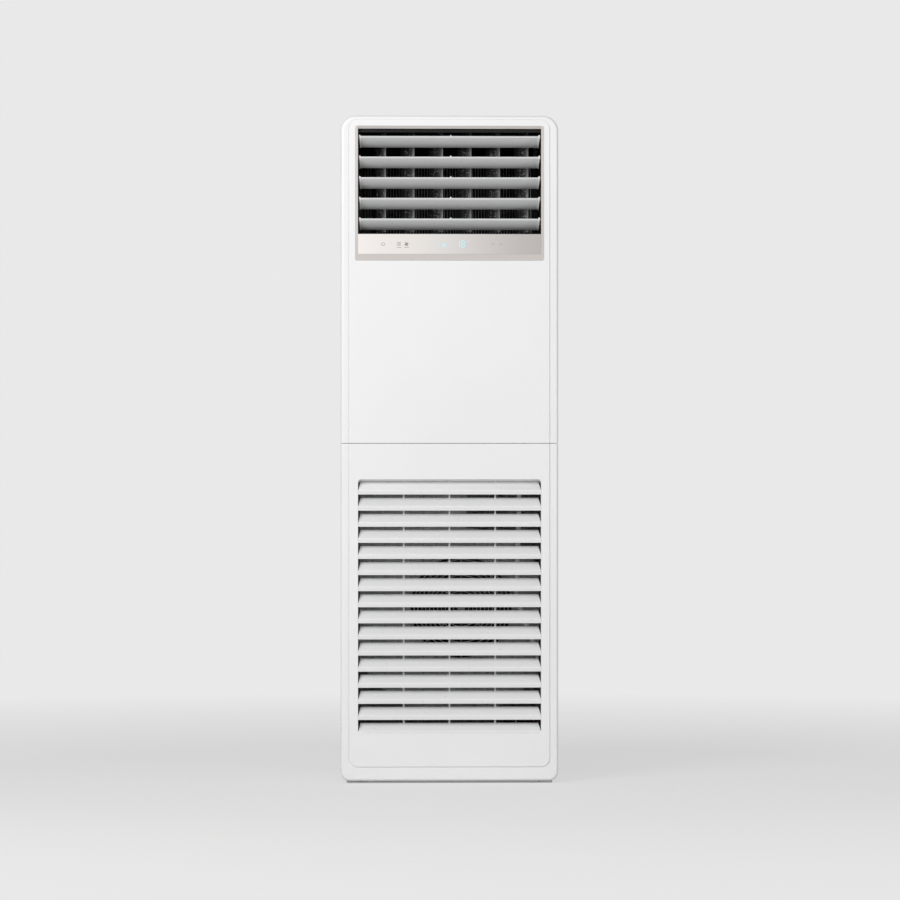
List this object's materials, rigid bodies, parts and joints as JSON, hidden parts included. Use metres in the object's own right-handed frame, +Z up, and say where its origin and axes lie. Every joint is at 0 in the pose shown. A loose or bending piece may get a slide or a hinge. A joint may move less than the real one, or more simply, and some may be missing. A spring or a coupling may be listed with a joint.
{
  "type": "floor standing air conditioner",
  "caption": "Tall white floor standing air conditioner with a louvred outlet at the top, a touch fascia, and a slatted intake panel that tips forward below.",
  "frame": {"origin": "on the floor under the middle of the cabinet", "axes": "+Z up, the front faces -Y, +X to the right as seen from the front"},
  "size_m": [0.603, 0.4, 1.85],
  "materials": {
    "white_abs": "moulded white ABS, satin gloss",
    "light_abs": "moulded pale grey-white ABS",
    "champagne_abs": "champagne lacquer on ABS",
    "champagne_gloss": "champagne touch fascia, brushed under gloss",
    "dark_abs": "black moulded ABS, matt",
    "black_abs": "black moulded ABS, fine spark texture",
    "black_nylon": "black nylon",
    "coated_steel": "white powder coat, fine orange peel",
    "galvanised_steel": "galvanised sheet steel",
    "zinc_steel": "zinc plated steel",
    "shaft_steel": "ground steel",
    "coated_wire": "grey coated wire",
    "coil_aluminium": "hydrophilic coated fin stock",
    "copper": "drawn copper tube",
    "brass_nut": "turned brass",
    "motor_can": "dark painted motor can",
    "circuit_board": "green circuit board",
    "filter_mesh": "fine dark nylon net",
    "foam_white": "moulded polystyrene",
    "grey_hose": "grey PVC hose",
    "black_rubber": "black rubber"
  },
  "bodies": {
    "cabinet": {"base_pan": "black_abs", "hinge_pins": "zinc_steel", "left_side_panel": "coated_steel", "right_side_panel": "coated_steel", "top_cover": "coated_steel", "rear_panel": "galvanised_steel", "cabinet_screws": "zinc_steel", "wall_bracket": "galvanised_steel", "pipe_grommet": "black_rubber", "cable_gland": "black_nylon", "front_upper_panel": "white_abs", "outlet_bezel": "champagne_abs", "control_fascia": "champagne_gloss", "display_board": "circuit_board", "duct_floor": "dark_abs", "duct_ceiling": "dark_abs", "duct_side_walls": "dark_abs", "blade_motor": "motor_can", "vane_motor": "motor_can", "blower_housing": "galvanised_steel", "blower_front_plate": "galvanised_steel", "inlet_bellmouth": "galvanised_steel", "inlet_guard": "coated_wire", "fan_motor": "motor_can", "motor_bracket": "galvanised_steel", "mid_deck": "galvanised_steel", "front_partition": "galvanised_steel", "drain_pan": "foam_white", "evaporator_fins": "coil_aluminium", "coil_end_plates": "galvanised_steel", "coil_return_bends": "copper", "refrigerant_pipes": "copper", "flare_nuts": "brass_nut", "drain_hose": "grey_hose", "control_box": "galvanised_steel", "control_box_cover": "galvanised_steel", "main_board": "circuit_board", "fan_capacitor": "motor_can", "terminal_block": "black_nylon"},
    "front_grille_panel": {"lower_panel": "white_abs", "intake_grille": "white_abs", "panel_catches": "black_nylon"},
    "air_filter": {"filter_frame": "black_abs", "filter_net": "filter_mesh"},
    "blower_wheel": {"fan_wheel": "dark_abs", "motor_shaft": "shaft_steel"},
    "outlet_blade_1": {"blade_1": "light_abs"},
    "outlet_blade_2": {"blade_2": "light_abs"},
    "outlet_blade_3": {"blade_3": "light_abs"},
    "outlet_blade_4": {"blade_4": "light_abs"},
    "outlet_blade_5": {"blade_5": "light_abs"},
    "outlet_blade_link": {"blade_link": "black_abs"},
    "outlet_vane_1": {"vane_1": "black_abs"},
    "outlet_vane_2": {"vane_2": "black_abs"},
    "outlet_vane_3": {"vane_3": "black_abs"},
    "outlet_vane_4": {"vane_4": "black_abs"},
    "outlet_vane_5": {"vane_5": "black_abs"},
    "outlet_vane_6": {"vane_6": "black_abs"},
    "outlet_vane_link": {"vane_link": "black_abs"}
  },
  "joints": [
    {"name": "front_grille_tilt", "type": "hinge", "parent": "cabinet", "child": "front_grille_panel", "pos_m": [0, -0.189, 0.012], "axis": [1, 0, 0], "range_deg": [0, 30]},
    {"name": "filter_pull", "type": "slide", "parent": "front_grille_panel", "child": "air_filter", "axis": [0, 0, 1], "range_m": [0, 0.19]},
    {"name": "wheel_spin", "type": "hinge", "parent": "cabinet", "child": "blower_wheel", "pos_m": [0.035, 0, 0.485], "axis": [0, 1, 0], "continuous": true},
    {"name": "blade_1_swing", "type": "hinge", "parent": "cabinet", "child": "outlet_blade_1", "pos_m": [0, -0.169, 1.7781], "axis": [1, 0, 0], "range_deg": [-45, 55]},
    {"name": "blade_2_swing", "type": "hinge", "parent": "cabinet", "child": "outlet_blade_2", "pos_m": [0, -0.169, 1.7209], "axis": [1, 0, 0], "range_deg": [-45, 55]},
    {"name": "blade_3_swing", "type": "hinge", "parent": "cabinet", "child": "outlet_blade_3", "pos_m": [0, -0.169, 1.6637], "axis": [1, 0, 0], "range_deg": [-45, 55]},
    {"name": "blade_4_swing", "type": "hinge", "parent": "cabinet", "child": "outlet_blade_4", "pos_m": [0, -0.169, 1.6065], "axis": [1, 0, 0], "range_deg": [-45, 55]},
    {"name": "blade_5_swing", "type": "hinge", "parent": "cabinet", "child": "outlet_blade_5", "pos_m": [0, -0.169, 1.5493], "axis": [1, 0, 0], "range_deg": [-45, 55]},
    {"name": "blade_link_pivot", "type": "hinge", "parent": "outlet_blade_3", "child": "outlet_blade_link", "pos_m": [0.25425, -0.15508, 1.66187], "axis": [1, 0, 0], "range_deg": [-55, 45]},
    {"name": "vane_1_swing", "type": "hinge", "parent": "cabinet", "child": "outlet_vane_1", "pos_m": [-0.19875, -0.095, 1.6], "axis": [0, 0, 1], "range_deg": [-86, 4]},
    {"name": "vane_2_swing", "type": "hinge", "parent": "cabinet", "child": "outlet_vane_2", "pos_m": [-0.11925, -0.095, 1.6], "axis": [0, 0, 1], "range_deg": [-86, 4]},
    {"name": "vane_3_swing", "type": "hinge", "parent": "cabinet", "child": "outlet_vane_3", "pos_m": [-0.03975, -0.095, 1.6], "axis": [0, 0, 1], "range_deg": [-86, 4]},
    {"name": "vane_4_swing", "type": "hinge", "parent": "cabinet", "child": "outlet_vane_4", "pos_m": [0.03975, -0.095, 1.6], "axis": [0, 0, 1], "range_deg": [-86, 4]},
    {"name": "vane_5_swing", "type": "hinge", "parent": "cabinet", "child": "outlet_vane_5", "pos_m": [0.11925, -0.095, 1.6], "axis": [0, 0, 1], "range_deg": [-86, 4]},
    {"name": "vane_6_swing", "type": "hinge", "parent": "cabinet", "child": "outlet_vane_6", "pos_m": [0.19875, -0.095, 1.6], "axis": [0, 0, 1], "range_deg": [-86, 4]},
    {"name": "vane_link_pivot", "type": "hinge", "parent": "outlet_vane_4", "child": "outlet_vane_link", "pos_m": [0.02925, -0.08292, 1.53], "axis": [0, 0, 1], "range_deg": [-4, 86]}
  ],
  "couplings": [
    {"joint": "blade_1_swing", "follows": "blade_3_swing", "ratio": 1},
    {"joint": "blade_2_swing", "follows": "blade_3_swing", "ratio": 1},
    {"joint": "blade_4_swing", "follows": "blade_3_swing", "ratio": 1},
    {"joint": "blade_5_swing", "follows": "blade_3_swing", "ratio": 1},
    {"joint": "blade_link_pivot", "follows": "blade_3_swing", "ratio": -1},
    {"joint": "vane_1_swing", "follows": "vane_4_swing", "ratio": 1},
    {"joint": "vane_2_swing", "follows": "vane_4_swing", "ratio": 1},
    {"joint": "vane_3_swing", "follows": "vane_4_swing", "ratio": 1},
    {"joint": "vane_5_swing", "follows": "vane_4_swing", "ratio": 1},
    {"joint": "vane_6_swing", "follows": "vane_4_swing", "ratio": 1},
    {"joint": "vane_link_pivot", "follows": "vane_4_swing", "ratio": -1}
  ]
}
